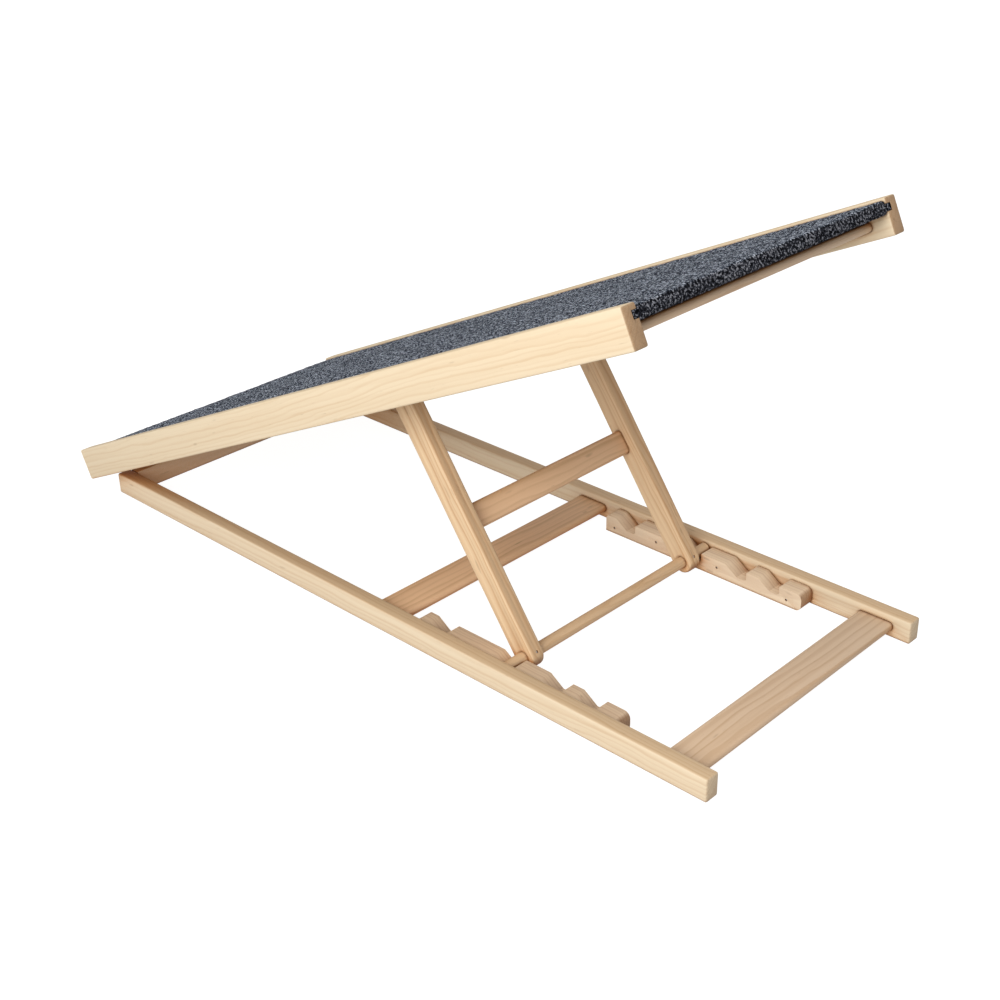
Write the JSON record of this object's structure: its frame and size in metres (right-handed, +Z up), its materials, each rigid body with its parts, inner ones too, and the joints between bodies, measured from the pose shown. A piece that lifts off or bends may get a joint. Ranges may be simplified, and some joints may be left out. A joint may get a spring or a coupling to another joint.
{
  "type": "dog ramp",
  "caption": "Folding wooden dog ramp: grey carpeted panel hinged to a low notched base frame, held up by a swinging support whose dowel sits in toothed racks",
  "frame": {"origin": "centre of the footprint, on the floor, between the low end of the ramp panel and the open end of the base", "axes": "+X from the hinged low end towards the open end, the way the ramp climbs; +Y to the left of a dog walking up; +Z up"},
  "size_m": [1.0011, 0.432, 0.4811],
  "materials": {
    "pine": "planed pine, clear satin",
    "hardboard": "raw hardboard",
    "carpet": "dense flecked grey needle felt",
    "zinc_steel": "zinc plated"
  },
  "bodies": {
    "base": {"base_end_slat": "pine", "base_hinge_rail": "pine", "base_hinge_screw_left_1": "zinc_steel", "base_hinge_screw_left_2": "zinc_steel", "base_hinge_screw_right_1": "zinc_steel", "base_hinge_screw_right_2": "zinc_steel", "base_mid_slat": "pine", "base_rail_left": "pine", "base_rail_right": "pine", "hinge_base_leaf_left": "zinc_steel", "hinge_base_leaf_right": "zinc_steel", "hinge_pin_left": "zinc_steel", "hinge_pin_right": "zinc_steel", "notch_rack_left": "pine", "notch_rack_right": "pine", "rack_brad_left_1": "zinc_steel", "rack_brad_left_2": "zinc_steel", "rack_brad_left_3": "zinc_steel", "rack_brad_left_4": "zinc_steel", "rack_brad_right_1": "zinc_steel", "rack_brad_right_2": "zinc_steel", "rack_brad_right_3": "zinc_steel", "rack_brad_right_4": "zinc_steel"},
    "ramp": {"deck_board": "hardboard", "deck_carpet": "carpet", "hinge_ramp_leaf_left": "zinc_steel", "hinge_ramp_leaf_right": "zinc_steel", "ramp_end_slat": "pine", "ramp_hinge_rail": "pine", "ramp_hinge_screw_left_1": "zinc_steel", "ramp_hinge_screw_left_2": "zinc_steel", "ramp_hinge_screw_right_1": "zinc_steel", "ramp_hinge_screw_right_2": "zinc_steel", "ramp_mid_slat": "pine", "ramp_rail_left": "pine", "ramp_rail_right": "pine"},
    "support": {"foot_brad_left": "zinc_steel", "foot_brad_right": "zinc_steel", "foot_dowel": "pine", "pivot_brad_left": "zinc_steel", "pivot_brad_right": "zinc_steel", "pivot_dowel": "pine", "support_leg_left": "pine", "support_leg_right": "pine", "support_slat": "pine"}
  },
  "joints": [
    {"name": "ramp_hinge", "type": "hinge", "parent": "base", "child": "ramp", "pos_m": [-0.45606, 0, 0.029], "axis": [0, -1, 0], "range_deg": [0, 40]},
    {"name": "support_pivot", "type": "hinge", "parent": "ramp", "child": "support", "pos_m": [0.03714, 0, 0.2754], "axis": [0, -1, 0], "range_deg": [0, 80]}
  ],
  "couplings": [
    {"joint": "support_pivot", "follows": "ramp_hinge", "ratio": 2}
  ]
}
